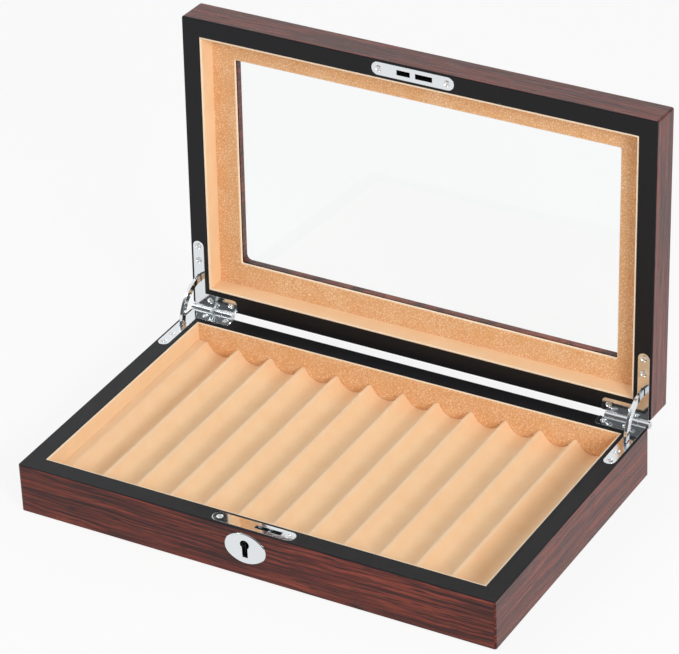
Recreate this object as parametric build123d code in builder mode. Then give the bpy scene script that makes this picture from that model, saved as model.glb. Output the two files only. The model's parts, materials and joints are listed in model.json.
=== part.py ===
"""Collector chest: a shallow wooden box with a glazed lid on stayed hinges, and a mortise lock.

Millimetres. The chest stands on z = 0 with the origin at the centre of its underside. +X runs
along the long side and the front faces -Y. The lid is drawn closed, in line with the base, and
each finished piece of it is swung back to the open stop before it is written.
"""

from build123d import *

import math
import os

os.makedirs("parts", exist_ok=True)

# ---------------------------------------------------------------- driving dimensions
# Wooden shells
box_width = 335.0
box_depth = 208.6
base_height = 35.0
lid_height = 23.4
rim_gap = 0.3
wall = 12.3
corner_radius = 1.6
base_edge_radius = 0.8
lid_edge_radius = 1.4

# Underside, floor and suede-covered linings
felt_thickness = 0.8
felt_inset = 3.0
floor_thickness = 3.2
floor_rabbet = 5.0
lining_thickness = 1.6
lining_drop = 0.2
lining_edge_radius = 0.5
soft_clearance = 0.2

# Grooved tray
groove_count = 12
groove_pitch = 24.7
groove_radius = 11.0
groove_depth = 8.6
crest_drop = 12.5
crest_radius = 0.9

# Glazed top
top_thickness = 8.0
window_margin = 30.0
window_corner_radius = 4.0
window_chamfer = 0.8
glass_thickness = 2.5
glass_overlap = 5.0
board_thickness = 2.0
board_lap = 0.6

# Stayed hinges: an L-shaped leaf on each rim, three knuckles and a pin
open_angle = 92.5
hinge_offset = 2.8
knuckle_radius = 2.5
hinge_pin_radius = 1.2
running_clearance = 0.05
barrel_length = 31.0
outer_knuckle = 7.5
knuckle_gap = 0.2
leaf_thickness = 1.6
leaf_inset = 1.7
strap_width = 8.0
strap_reach = 50.2
strip_width = 9.0
strip_reach = 33.8
leaf_corner_radius = 3.0
seat_clearance = 0.1

# Stay arms: quadrants about the hinge axis, with a head at each end under the straps
arm_inner_radius = 20.6
arm_width = 4.4
arm_thickness = 2.0
arm_head_width = 4.8
arm_head_length = 1.2
arm_clearance = 0.4
arm_stop_gap = 0.25

# Countersunk screws
screw_radius = 1.1
screw_head_radius = 2.1
screw_length = 9.0
screw_sides = 8
pilot_clearance = 0.05
strap_screw_reach = (36.0, 46.5)
strip_screw_reach = (13.5, 29.0)
lock_screw_offset = 24.1

# Lock in the front wall, strike plate in the lid's front wall
lock_plate_length = 58.0
lock_plate_width = 9.0
lock_plate_thickness = 1.2
lock_slot_start = 1.0
lock_slot_end = 19.5
lock_slot_width = 3.4
lock_case_left = -14.0
lock_case_right = 20.5
lock_case_depth = 5.2
lock_case_height = 18.2
lock_case_wall = 0.7
strike_hole_spans = ((-11.3, -1.9), (1.8, 13.8))
claw_pivot_drop = 5.0
claw_inner_radius = 10.0
claw_width = 2.6
claw_hub_radius = 3.5
claw_thickness = 2.4
claw_tip_angle = 21.0
claw_tail_angle = -80.0
claw_spoke_angle = 18.0
claw_clearance = 0.6
lock_pin_radius = 1.5
lock_spring_thickness = 0.5
lock_spring_bow = 1.6
lock_spring_clearance = 0.3
key_offset = -3.3
key_drop = 10.7
key_post_radius = 0.9
keyhole_radius = 3.2
keyhole_foot_width = 3.9
keyhole_foot_drop = 9.2
escutcheon_width = 29.0
escutcheon_height = 21.6
escutcheon_end_radius = 8.5
escutcheon_thickness = 1.7
escutcheon_proud = 0.7
escutcheon_chamfer = 0.5
escutcheon_drop = 13.7

# ---------------------------------------------------------------- derived places
half_width = box_width / 2
half_depth = box_depth / 2
inner_width = box_width - 2 * wall
inner_depth = box_depth - 2 * wall
floor_top = felt_thickness + floor_thickness
lid_rim = base_height + rim_gap
panel_underside = lid_rim + lid_height - top_thickness
board_underside = panel_underside - board_thickness
window_width = box_width - 2 * window_margin
window_depth = box_depth - 2 * window_margin
axis_y = half_depth + hinge_offset
hinge_axis = Axis((0, axis_y, base_height), (1, 0, 0))
arm_outer_radius = arm_inner_radius + arm_width
claw_outer_radius = claw_inner_radius + claw_width
strap_centre = half_width - leaf_inset - strap_width / 2
strip_centre = half_depth - strip_width / 2
lock_y = -(half_depth - wall / 2)
front_plane = Plane.XZ.offset(half_depth)
lock_plane = Plane.XZ.offset(-lock_y)
claw_pivot = (0.0, base_height - claw_pivot_drop)
pocket_depth = lock_case_depth + 2 * seat_clearance

hinge_screws = [(strap_centre, axis_y - reach) for reach in strap_screw_reach]
hinge_screws += [(half_width - reach, strip_centre) for reach in strip_screw_reach]
hinge_screws += [(-x, y) for x, y in hinge_screws]
lock_screws = [(lock_screw_offset, lock_y), (-lock_screw_offset, lock_y)]


# ---------------------------------------------------------------- shared outlines
def save(piece, node):
    """Label a finished piece and write it to its own file."""
    piece.label = node
    export_step(piece, f"parts/{node}.step")


def swing_open(piece):
    """Turn a piece of the closed lid about the hinge pins, back to the open stop."""
    return piece.rotate(hinge_axis, -open_angle)


def mitre_plan(side):
    """Plan of the quarter of the box between two 45 degree mitres."""
    reach = half_depth
    corners = {
        "front": ((-half_width, -half_depth), (half_width, -half_depth)),
        "back": ((half_width, half_depth), (-half_width, half_depth)),
        "left": ((-half_width, half_depth), (-half_width, -half_depth)),
        "right": ((half_width, -half_depth), (half_width, half_depth)),
    }
    first, last = corners[side]
    inward = [(x - math.copysign(reach, x), 0.0) for x, y in (last, first)]
    if side in ("left", "right"):
        inward = inward[:1]
    with BuildSketch() as plan:
        Polygon(first, last, *inward, align=None)
    return plan.sketch


def ring_sector(centre, inner, outer, start, sweep):
    """Part of a flat ring between two radii, from a start angle through a sweep."""
    with BuildSketch() as plan:
        with BuildLine():
            near = CenterArc(centre, inner, start, sweep)
            far = CenterArc(centre, outer, start, sweep)
            Line(near @ 0, far @ 0)
            Line(near @ 1, far @ 1)
        make_face()
    return plan.sketch


def leaf_plan(grow):
    """L-shaped plan of the right-hand hinge leaf, wider all round by grow."""
    strap_length = strap_reach - hinge_offset
    tip_y = half_depth - strap_length
    strip_length = strip_reach - leaf_inset
    strip_middle = half_width - leaf_inset - strip_length / 2
    round_radius = strap_width / 2
    with BuildSketch() as plan:
        with Locations((strap_centre, tip_y + round_radius)):
            Circle(round_radius + grow)
        with Locations((strap_centre, (tip_y + round_radius + half_depth) / 2)):
            Rectangle(strap_width + 2 * grow, strap_length - round_radius)
        with Locations((strip_middle, strip_centre)):
            Rectangle(strip_length + 2 * grow, strip_width + 2 * grow)
        inner_corners = plan.vertices().sort_by(Axis.X)[:2]
        fillet(inner_corners.sort_by(Axis.Y)[:1], leaf_corner_radius)
        with Locations((half_width, half_depth + half_depth / 2)):
            Rectangle(box_width, half_depth, mode=Mode.SUBTRACT)
    return plan.sketch


def lock_plate_plan(grow):
    """Plan of the lock's face plate and of the strike plate, which are alike outside."""
    with BuildSketch() as plan:
        with Locations((0, lock_y)):
            SlotOverall(lock_plate_length + 2 * grow, lock_plate_width + 2 * grow)
    return plan.sketch


def pilot_plan():
    """Plan of the pilot holes of every screw, as many-sided as the screws."""
    with BuildSketch() as plan:
        with Locations(*hinge_screws, *lock_screws):
            RegularPolygon(screw_radius + pilot_clearance, screw_sides)
    return plan.sketch


def keyhole_plan(grow):
    """Keyhole seen from the front: a round head over a straight foot."""
    head_z = base_height - key_drop
    with BuildSketch() as plan:
        with Locations((key_offset, head_z)):
            Circle(keyhole_radius + grow)
        with Locations((key_offset, head_z)):
            Rectangle(
                keyhole_foot_width + 2 * grow,
                keyhole_foot_drop + grow,
                align=(Align.CENTER, Align.MAX),
            )
    return plan.sketch


def escutcheon_plan(grow):
    """Oval of the keyhole plate seen from the front, in four arcs that meet in tangents."""
    half_long = escutcheon_width / 2
    half_short = escutcheon_height / 2
    end = escutcheon_end_radius
    side = (half_long**2 + half_short**2 - 2 * half_long * end) / (2 * (half_short - end))
    end_centre = half_long - end
    side_centre = side - half_short
    turn = math.degrees(math.atan2(side_centre, end_centre))
    x = key_offset
    z = base_height - escutcheon_drop
    with BuildSketch() as plan:
        with BuildLine():
            CenterArc((x + end_centre, z), end + grow, -turn, 2 * turn)
            CenterArc((x, z - side_centre), side + grow, turn, 180 - 2 * turn)
            CenterArc((x - end_centre, z), end + grow, 180 - turn, 2 * turn)
            CenterArc((x, z + side_centre), side + grow, 180 + turn, 180 - 2 * turn)
        make_face()
    return plan.sketch


def stay_pocket(start, sweep):
    """Side view of the pocket that a stay arm swings in."""
    return ring_sector(
        (axis_y, base_height),
        arm_inner_radius - arm_clearance,
        arm_outer_radius + arm_clearance,
        start,
        sweep,
    )


# ---------------------------------------------------------------- stay arm angles
# Angles are about the hinge axis: 180 degrees points forward along the closed rims and
# smaller angles rise. A head lies under each strap, clear of it by the stop gap.
lower_stop = math.degrees(math.asin((leaf_thickness + arm_stop_gap) / arm_inner_radius))
upper_stop = math.degrees(math.asin((rim_gap + leaf_thickness + arm_stop_gap) / arm_inner_radius))
head_sweep = math.degrees(arm_head_length / ((arm_inner_radius + arm_outer_radius) / 2))
arm_start = 180 + lower_stop + head_sweep
arm_end = 180 - open_angle - upper_stop - head_sweep
arm_sweep = arm_end - arm_start
pocket_margin = math.degrees(arm_clearance / arm_inner_radius)
lower_pocket_sweep = arm_start - 180 + open_angle / 2 + pocket_margin
upper_pocket_sweep = 180 - arm_end - open_angle / 2 + pocket_margin
pocket_width = arm_head_width + 2 * arm_clearance
stay_planes = [Plane.YZ.offset(strap_centre), Plane.YZ.offset(-strap_centre)]

# ---------------------------------------------------------------- base walls
with BuildPart() as base_frame:
    with BuildSketch(Plane.XY.offset(felt_thickness)):
        RectangleRounded(box_width, box_depth, corner_radius)
        Rectangle(inner_width, inner_depth, mode=Mode.SUBTRACT)
    extrude(amount=base_height - felt_thickness)
    fillet(base_frame.faces().sort_by(Axis.Z)[-1].outer_wire().edges(), base_edge_radius)
    # Rabbet for the floor
    with BuildSketch(Plane.XY.offset(felt_thickness)):
        Rectangle(inner_width + 2 * floor_rabbet, inner_depth + 2 * floor_rabbet)
    extrude(amount=floor_thickness, mode=Mode.SUBTRACT)
    # Seats of the hinge leaves and pockets of the stay arms
    with BuildSketch(Plane.XY.offset(base_height)):
        add(leaf_plan(seat_clearance))
        mirror(about=Plane.YZ)
    extrude(amount=-leaf_thickness, mode=Mode.SUBTRACT)
    for plane in stay_planes:
        with BuildSketch(plane):
            add(stay_pocket(180, lower_pocket_sweep))
        extrude(amount=pocket_width / 2, both=True, mode=Mode.SUBTRACT)
    # Seat of the lock's face plate, pocket of its case, keyhole and escutcheon seat
    with BuildSketch(Plane.XY.offset(base_height)):
        add(lock_plate_plan(seat_clearance))
    extrude(amount=-lock_plate_thickness, mode=Mode.SUBTRACT)
    with BuildSketch(Plane.XY.offset(base_height)):
        with Locations(((lock_case_left + lock_case_right) / 2, lock_y)):
            Rectangle(lock_case_right - lock_case_left + 2 * seat_clearance, pocket_depth)
    extrude(
        amount=-(lock_plate_thickness + lock_case_height + seat_clearance),
        mode=Mode.SUBTRACT,
    )
    with BuildSketch(front_plane):
        add(keyhole_plan(seat_clearance))
    extrude(amount=-wall / 2, mode=Mode.SUBTRACT)
    with BuildSketch(front_plane):
        add(escutcheon_plan(seat_clearance))
    extrude(amount=-(escutcheon_thickness - escutcheon_proud), mode=Mode.SUBTRACT)
    # Pilot holes
    with BuildSketch(Plane.XY.offset(base_height)):
        add(pilot_plan())
    extrude(amount=-(screw_length + pilot_clearance), mode=Mode.SUBTRACT)

for side in ("front", "back", "left", "right"):
    with BuildPart() as base_wall:
        add(base_frame.part)
        with BuildSketch():
            add(mitre_plan(side))
        extrude(amount=base_height, mode=Mode.INTERSECT)
    save(base_wall.part, f"base_{side}_wall")

# ---------------------------------------------------------------- base floor, felt and linings
with BuildPart() as base_floor:
    with BuildSketch(Plane.XY.offset(felt_thickness)):
        Rectangle(
            inner_width + 2 * (floor_rabbet - seat_clearance),
            inner_depth + 2 * (floor_rabbet - seat_clearance),
        )
    extrude(amount=floor_thickness)
save(base_floor.part, "base_floor")

with BuildPart() as base_felt:
    with BuildSketch():
        RectangleRounded(
            box_width - 2 * felt_inset,
            box_depth - 2 * felt_inset,
            corner_radius,
        )
    extrude(amount=felt_thickness)
save(base_felt.part, "base_felt")

with BuildPart() as base_lining_ring:
    with BuildSketch(Plane.XY.offset(floor_top)):
        Rectangle(inner_width, inner_depth)
        Rectangle(
            inner_width - 2 * lining_thickness,
            inner_depth - 2 * lining_thickness,
            mode=Mode.SUBTRACT,
        )
    extrude(amount=base_height - lining_drop - floor_top)
    rim_face = base_lining_ring.faces().sort_by(Axis.Z)[-1]
    fillet(rim_face.inner_wires().edges(), lining_edge_radius)

for side in ("front", "back", "left", "right"):
    with BuildPart() as base_lining:
        add(base_lining_ring.part)
        with BuildSketch():
            add(mitre_plan(side))
        extrude(amount=base_height, mode=Mode.INTERSECT)
    save(base_lining.part, f"base_lining_{side}")

# ---------------------------------------------------------------- grooved tray
tray_width = inner_width - 2 * (lining_thickness + soft_clearance)
tray_depth = inner_depth - 2 * (lining_thickness + soft_clearance)
crest_z = base_height - crest_drop
groove_centre_z = crest_z - groove_depth + groove_radius

with BuildPart() as groove_tray:
    with BuildSketch(Plane.XZ):
        with Locations((0, (floor_top + crest_z) / 2)):
            Rectangle(tray_width, crest_z - floor_top)
        with Locations((0, groove_centre_z)):
            with GridLocations(groove_pitch, 0, groove_count, 1):
                Circle(groove_radius, mode=Mode.SUBTRACT)
    extrude(amount=tray_depth / 2, both=True)
    crest_edges = groove_tray.edges().filter_by(Axis.Y).group_by(Axis.Z)[-1]
    fillet(crest_edges.sort_by(Axis.X)[1:-1], crest_radius)
save(groove_tray.part, "groove_tray")

# ---------------------------------------------------------------- lid walls
lid_frame_height = panel_underside - lid_rim

with BuildPart() as lid_frame:
    with BuildSketch(Plane.XY.offset(lid_rim)):
        RectangleRounded(box_width, box_depth, corner_radius)
        Rectangle(inner_width, inner_depth, mode=Mode.SUBTRACT)
    extrude(amount=lid_frame_height)
    fillet(lid_frame.faces().sort_by(Axis.Z)[0].outer_wire().edges(), base_edge_radius)
    # Seats of the hinge leaves and pockets of the stay arms
    with BuildSketch(Plane.XY.offset(lid_rim)):
        add(leaf_plan(seat_clearance))
        mirror(about=Plane.YZ)
    extrude(amount=leaf_thickness, mode=Mode.SUBTRACT)
    for plane in stay_planes:
        with BuildSketch(plane):
            add(stay_pocket(180, -upper_pocket_sweep))
        extrude(amount=pocket_width / 2, both=True, mode=Mode.SUBTRACT)
    # Seat of the strike plate and the pocket that the lock's claw turns into
    with BuildSketch(Plane.XY.offset(lid_rim)):
        add(lock_plate_plan(seat_clearance))
    extrude(amount=lock_plate_thickness, mode=Mode.SUBTRACT)
    with BuildSketch(Plane.XY.offset(lid_rim)):
        with Locations(((strike_hole_spans[0][0] + strike_hole_spans[1][1]) / 2, lock_y)):
            Rectangle(strike_hole_spans[1][1] - strike_hole_spans[0][0], lock_slot_width)
    extrude(
        amount=claw_outer_radius - claw_pivot_drop - rim_gap + claw_clearance,
        mode=Mode.SUBTRACT,
    )
    # Pilot holes
    with BuildSketch(Plane.XY.offset(lid_rim)):
        add(pilot_plan())
    extrude(amount=screw_length + pilot_clearance, mode=Mode.SUBTRACT)

for side in ("front", "back", "left", "right"):
    with BuildPart() as lid_wall:
        add(lid_frame.part)
        with BuildSketch(Plane.XY.offset(lid_rim)):
            add(mitre_plan(side))
        extrude(amount=lid_height, mode=Mode.INTERSECT)
    save(swing_open(lid_wall.part), f"lid_{side}_wall")

# ---------------------------------------------------------------- lid top, glass and board
with BuildPart() as lid_top_panel:
    with BuildSketch(Plane.XY.offset(panel_underside)):
        RectangleRounded(box_width, box_depth, corner_radius)
        RectangleRounded(window_width, window_depth, window_corner_radius, mode=Mode.SUBTRACT)
    extrude(amount=top_thickness)
    top_face = lid_top_panel.faces().sort_by(Axis.Z)[-1]
    fillet(top_face.outer_wire().edges(), lid_edge_radius)
    window_edges = lid_top_panel.faces().sort_by(Axis.Z)[-1].inner_wires().edges()
    chamfer(window_edges, window_chamfer)
    # Rabbet for the glass
    with BuildSketch(Plane.XY.offset(panel_underside)):
        Rectangle(window_width + 2 * glass_overlap, window_depth + 2 * glass_overlap)
    extrude(amount=glass_thickness, mode=Mode.SUBTRACT)
    for plane in stay_planes:
        with BuildSketch(plane):
            add(stay_pocket(180, -upper_pocket_sweep))
        extrude(amount=pocket_width / 2, both=True, mode=Mode.SUBTRACT)
save(swing_open(lid_top_panel.part), "lid_top_panel")

with BuildPart() as glass_pane:
    with BuildSketch(Plane.XY.offset(panel_underside)):
        Rectangle(
            window_width + 2 * (glass_overlap - soft_clearance),
            window_depth + 2 * (glass_overlap - soft_clearance),
        )
    extrude(amount=glass_thickness)
save(swing_open(glass_pane.part), "glass_pane")

with BuildPart() as window_board:
    with BuildSketch(Plane.XY.offset(board_underside)):
        Rectangle(inner_width, inner_depth)
        Rectangle(window_width - 2 * board_lap, window_depth - 2 * board_lap, mode=Mode.SUBTRACT)
    extrude(amount=board_thickness)
    near_face = window_board.faces().sort_by(Axis.Z)[0]
    fillet(near_face.inner_wires().edges(), lining_edge_radius)
save(swing_open(window_board.part), "window_board")

with BuildPart() as lid_lining_ring:
    with BuildSketch(Plane.XY.offset(lid_rim + lining_drop)):
        Rectangle(inner_width, inner_depth)
        Rectangle(
            inner_width - 2 * lining_thickness,
            inner_depth - 2 * lining_thickness,
            mode=Mode.SUBTRACT,
        )
    extrude(amount=board_underside - lid_rim - lining_drop)
    rim_face = lid_lining_ring.faces().sort_by(Axis.Z)[0]
    fillet(rim_face.inner_wires().edges(), lining_edge_radius)

for side in ("front", "back", "left", "right"):
    with BuildPart() as lid_lining:
        add(lid_lining_ring.part)
        with BuildSketch(Plane.XY.offset(lid_rim)):
            add(mitre_plan(side))
        extrude(amount=lid_height, mode=Mode.INTERSECT)
    save(swing_open(lid_lining.part), f"lid_lining_{side}")

# ---------------------------------------------------------------- hinge leaves and pins
middle_knuckle = barrel_length - 2 * (outer_knuckle + knuckle_gap)
outer_knuckle_starts = (half_width - outer_knuckle, half_width - barrel_length)
middle_knuckle_start = half_width - barrel_length + outer_knuckle + knuckle_gap
slot_width = arm_thickness + 2 * arm_clearance
slot_length = arm_outer_radius - arm_inner_radius + 2 * arm_clearance
slot_centre = axis_y - (arm_outer_radius + arm_inner_radius) / 2


def barrel_plane(start):
    """Plane square to the hinge axis where a knuckle starts, drawn as Y across and Z up."""
    return Plane.YZ.offset(start)


with BuildPart() as lower_leaf:
    with BuildSketch(Plane.XY.offset(base_height)):
        add(leaf_plan(0))
        with Locations((strap_centre, slot_centre)):
            Rectangle(slot_width, slot_length, mode=Mode.SUBTRACT)
    extrude(amount=-leaf_thickness)
    for start in outer_knuckle_starts:
        with BuildSketch(barrel_plane(start)):
            with Locations((axis_y, base_height)):
                Circle(knuckle_radius)
        extrude(amount=outer_knuckle)
        tongue_end = min(start + outer_knuckle, half_width - leaf_inset)
        with BuildSketch(Plane.XY.offset(base_height)):
            with Locations((start, half_depth)):
                Rectangle(tongue_end - start, hinge_offset, align=(Align.MIN, Align.MIN))
        extrude(amount=-leaf_thickness)
    with BuildSketch(barrel_plane(half_width - barrel_length)):
        with Locations((axis_y, base_height)):
            Circle(hinge_pin_radius + running_clearance)
    extrude(amount=barrel_length, mode=Mode.SUBTRACT)
    with Locations(Plane.XY.offset(base_height)):
        with Locations(*hinge_screws[:4]):
            CounterSinkHole(
                screw_radius + pilot_clearance,
                screw_head_radius + pilot_clearance,
                depth=leaf_thickness,
                counter_sink_angle=90,
            )
save(lower_leaf.part, "lower_leaf_right")
save(mirror(lower_leaf.part, about=Plane.YZ), "lower_leaf_left")

with BuildPart() as upper_leaf:
    with BuildSketch(Plane.XY.offset(lid_rim)):
        add(leaf_plan(0))
        with Locations((strap_centre, slot_centre)):
            Rectangle(slot_width, slot_length, mode=Mode.SUBTRACT)
    extrude(amount=leaf_thickness)
    with BuildSketch(barrel_plane(middle_knuckle_start)):
        with Locations((axis_y, base_height)):
            Circle(knuckle_radius)
    extrude(amount=middle_knuckle)
    with BuildSketch(Plane.XY.offset(lid_rim)):
        with Locations((middle_knuckle_start, half_depth)):
            Rectangle(middle_knuckle, hinge_offset, align=(Align.MIN, Align.MIN))
    extrude(amount=leaf_thickness)
    with BuildSketch(barrel_plane(middle_knuckle_start)):
        with Locations((axis_y, base_height)):
            Circle(hinge_pin_radius + running_clearance)
    extrude(amount=middle_knuckle, mode=Mode.SUBTRACT)
    with Locations(Plane(origin=(0, 0, lid_rim), x_dir=(1, 0, 0), z_dir=(0, 0, -1))):
        with Locations(*[(x, -y) for x, y in hinge_screws[:4]]):
            CounterSinkHole(
                screw_radius + pilot_clearance,
                screw_head_radius + pilot_clearance,
                depth=leaf_thickness,
                counter_sink_angle=90,
            )
save(swing_open(upper_leaf.part), "upper_leaf_right")
save(swing_open(mirror(upper_leaf.part, about=Plane.YZ)), "upper_leaf_left")

with BuildPart() as hinge_pins:
    for start in (half_width - barrel_length, -half_width):
        with BuildSketch(barrel_plane(start)):
            with Locations((axis_y, base_height)):
                Circle(hinge_pin_radius)
        extrude(amount=barrel_length)
save(hinge_pins.part, "hinge_pins")

# ---------------------------------------------------------------- stay arms, drawn at the open stop
with BuildPart() as stay_arm:
    with BuildSketch(stay_planes[0]):
        add(
            ring_sector(
                (axis_y, base_height),
                arm_inner_radius,
                arm_outer_radius,
                arm_start,
                arm_sweep,
            )
        )
    extrude(amount=arm_thickness / 2, both=True)
    with BuildSketch(stay_planes[0]):
        for head_start in (arm_start, arm_end + head_sweep):
            add(
                ring_sector(
                    (axis_y, base_height),
                    arm_inner_radius,
                    arm_outer_radius,
                    head_start,
                    -head_sweep,
                )
            )
    extrude(amount=arm_head_width / 2, both=True)
save(stay_arm.part, "stay_arm_right")
save(mirror(stay_arm.part, about=Plane.YZ), "stay_arm_left")

# ---------------------------------------------------------------- screws
# One countersunk screw with its head up at the origin, with few sides because it repeats
head_height = screw_head_radius - screw_radius

with BuildPart() as screw:
    with BuildSketch():
        RegularPolygon(screw_head_radius, screw_sides)
    with BuildSketch(Plane.XY.offset(-head_height)):
        RegularPolygon(screw_radius, screw_sides)
    loft(ruled=True)
    with BuildSketch(Plane.XY.offset(-head_height)):
        RegularPolygon(screw_radius, screw_sides)
    extrude(amount=-(screw_length - head_height))

with BuildPart() as base_hinge_screws:
    with Locations(Plane.XY.offset(base_height)):
        with Locations(*hinge_screws):
            add(screw.part)
save(base_hinge_screws.part, "base_hinge_screws")

with BuildPart() as lock_plate_screws:
    with Locations(Plane.XY.offset(base_height)):
        with Locations(*lock_screws):
            add(screw.part)
save(lock_plate_screws.part, "lock_plate_screws")

lid_screw_plane = Plane(origin=(0, 0, lid_rim), x_dir=(1, 0, 0), z_dir=(0, 0, -1))

with BuildPart() as lid_hinge_screws:
    with Locations(lid_screw_plane):
        with Locations(*[(x, -y) for x, y in hinge_screws]):
            add(screw.part)
save(swing_open(lid_hinge_screws.part), "lid_hinge_screws")

with BuildPart() as strike_plate_screws:
    with Locations(lid_screw_plane):
        with Locations(*[(x, -y) for x, y in lock_screws]):
            add(screw.part)
save(swing_open(strike_plate_screws.part), "strike_plate_screws")

# ---------------------------------------------------------------- lock plates
with BuildPart() as lock_face_plate:
    with BuildSketch(Plane.XY.offset(base_height)):
        add(lock_plate_plan(0))
        with Locations(((lock_slot_start + lock_slot_end) / 2, lock_y)):
            Rectangle(lock_slot_end - lock_slot_start, lock_slot_width, mode=Mode.SUBTRACT)
    extrude(amount=-lock_plate_thickness)
    with Locations(Plane.XY.offset(base_height)):
        with Locations(*lock_screws):
            CounterSinkHole(
                screw_radius + pilot_clearance,
                screw_head_radius + pilot_clearance,
                depth=lock_plate_thickness,
                counter_sink_angle=90,
            )
save(lock_face_plate.part, "lock_face_plate")

with BuildPart() as strike_plate:
    with BuildSketch(Plane.XY.offset(lid_rim)):
        add(lock_plate_plan(0))
        for start, end in strike_hole_spans:
            with Locations(((start + end) / 2, lock_y)):
                Rectangle(end - start, lock_slot_width, mode=Mode.SUBTRACT)
    extrude(amount=lock_plate_thickness)
    with Locations(lid_screw_plane):
        with Locations(*[(x, -y) for x, y in lock_screws]):
            CounterSinkHole(
                screw_radius + pilot_clearance,
                screw_head_radius + pilot_clearance,
                depth=lock_plate_thickness,
                counter_sink_angle=90,
            )
save(swing_open(strike_plate.part), "strike_plate")

# ---------------------------------------------------------------- lock case and works
case_top = base_height - lock_plate_thickness
case_width = lock_case_right - lock_case_left
case_middle = (lock_case_left + lock_case_right) / 2
case_gap = lock_case_depth - 2 * lock_case_wall

with BuildPart() as lock_case:
    with BuildSketch(Plane.XY.offset(case_top)):
        with Locations((case_middle, lock_y)):
            Rectangle(case_width, lock_case_depth)
    extrude(amount=-lock_case_height)
    with BuildSketch(Plane.XY.offset(case_top)):
        with Locations((case_middle, lock_y)):
            Rectangle(case_width - 2 * lock_case_wall, case_gap)
    extrude(amount=-(lock_case_height - lock_case_wall), mode=Mode.SUBTRACT)
    with BuildSketch(lock_plane):
        add(keyhole_plan(0))
    extrude(amount=lock_case_depth, mode=Mode.SUBTRACT)
save(lock_case.part, "lock_case")

with BuildPart() as lock_pivot_pin:
    with BuildSketch(lock_plane):
        with Locations(claw_pivot):
            Circle(lock_pin_radius)
    extrude(amount=case_gap / 2, both=True)
save(lock_pivot_pin.part, "lock_pivot_pin")

with BuildPart() as lock_key_post:
    with BuildSketch(lock_plane.offset(-case_gap / 2)):
        with Locations((key_offset, base_height - key_drop)):
            Circle(key_post_radius)
    extrude(amount=case_gap)
save(lock_key_post.part, "lock_key_post")

# The spring is a bowed leaf from the case's left wall to the side of the claw's hub
spring_start = lock_case_left + lock_case_wall
spring_end = -(claw_hub_radius + lock_spring_clearance)
spring_z = base_height - claw_pivot_drop

with BuildPart() as lock_spring:
    with BuildSketch(lock_plane):
        with BuildLine():
            under = ThreePointArc(
                (spring_start, spring_z),
                ((spring_start + spring_end) / 2, spring_z + lock_spring_bow),
                (spring_end, spring_z),
            )
            over = ThreePointArc(
                (spring_start, spring_z + lock_spring_thickness),
                ((spring_start + spring_end) / 2, spring_z + lock_spring_bow + lock_spring_thickness),
                (spring_end, spring_z + lock_spring_thickness),
            )
            Line(under @ 0, over @ 0)
            Line(under @ 1, over @ 1)
        make_face()
    extrude(amount=claw_thickness / 2, both=True)
save(lock_spring.part, "lock_spring")

with BuildPart() as lock_claw:
    with BuildSketch(lock_plane):
        add(
            ring_sector(
                claw_pivot,
                claw_inner_radius,
                claw_outer_radius,
                claw_tail_angle,
                claw_tip_angle - claw_tail_angle,
            )
        )
        add(
            ring_sector(
                claw_pivot,
                lock_pin_radius + running_clearance,
                claw_inner_radius + (claw_outer_radius - claw_inner_radius) / 2,
                claw_tail_angle,
                claw_spoke_angle,
            )
        )
        with Locations(claw_pivot):
            Circle(claw_hub_radius)
            Circle(lock_pin_radius + running_clearance, mode=Mode.SUBTRACT)
    extrude(amount=claw_thickness / 2, both=True)
save(lock_claw.part, "lock_claw")

with BuildPart() as escutcheon:
    with BuildSketch(front_plane.offset(escutcheon_proud)):
        add(escutcheon_plan(0))
        add(keyhole_plan(0), mode=Mode.SUBTRACT)
    extrude(amount=-escutcheon_thickness)
    front_face = escutcheon.faces().sort_by(Axis.Y)[0]
    chamfer(front_face.outer_wire().edges(), escutcheon_chamfer)
save(escutcheon.part, "escutcheon")
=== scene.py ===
"""Looks of the collector chest: suede-covered linings, tray and board, screws and finishes.

Lengths are written in millimetres and turned to metres when a mesh is made. Pieces of the lid
are worked out with the lid closed and are then swung back to the open stop, as in the CAD.
"""

from __future__ import annotations

import json
import logging
import math
from dataclasses import dataclass
from enum import Enum
from typing import Any

import bmesh
import bpy
import numpy as np
from mathutils import Matrix, Vector

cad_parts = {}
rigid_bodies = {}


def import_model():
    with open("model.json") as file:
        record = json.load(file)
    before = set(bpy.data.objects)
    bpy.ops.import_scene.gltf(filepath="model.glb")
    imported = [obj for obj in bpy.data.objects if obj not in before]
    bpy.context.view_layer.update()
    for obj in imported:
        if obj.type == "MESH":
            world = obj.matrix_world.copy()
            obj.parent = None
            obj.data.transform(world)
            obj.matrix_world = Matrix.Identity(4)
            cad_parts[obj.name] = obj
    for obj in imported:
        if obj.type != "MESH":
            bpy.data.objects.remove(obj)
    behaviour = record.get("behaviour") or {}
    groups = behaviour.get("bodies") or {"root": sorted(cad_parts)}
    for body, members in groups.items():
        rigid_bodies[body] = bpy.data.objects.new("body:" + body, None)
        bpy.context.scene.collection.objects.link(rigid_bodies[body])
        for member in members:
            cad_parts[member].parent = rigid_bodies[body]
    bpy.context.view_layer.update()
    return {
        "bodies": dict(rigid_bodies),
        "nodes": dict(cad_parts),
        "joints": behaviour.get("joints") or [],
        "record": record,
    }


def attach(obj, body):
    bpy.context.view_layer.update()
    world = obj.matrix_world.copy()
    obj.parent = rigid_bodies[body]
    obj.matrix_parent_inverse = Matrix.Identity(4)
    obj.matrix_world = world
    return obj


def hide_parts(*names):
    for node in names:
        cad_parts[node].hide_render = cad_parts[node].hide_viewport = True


LOG = logging.getLogger("chest")
MM = 0.001
Colour = tuple[float, float, float, float]


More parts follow.
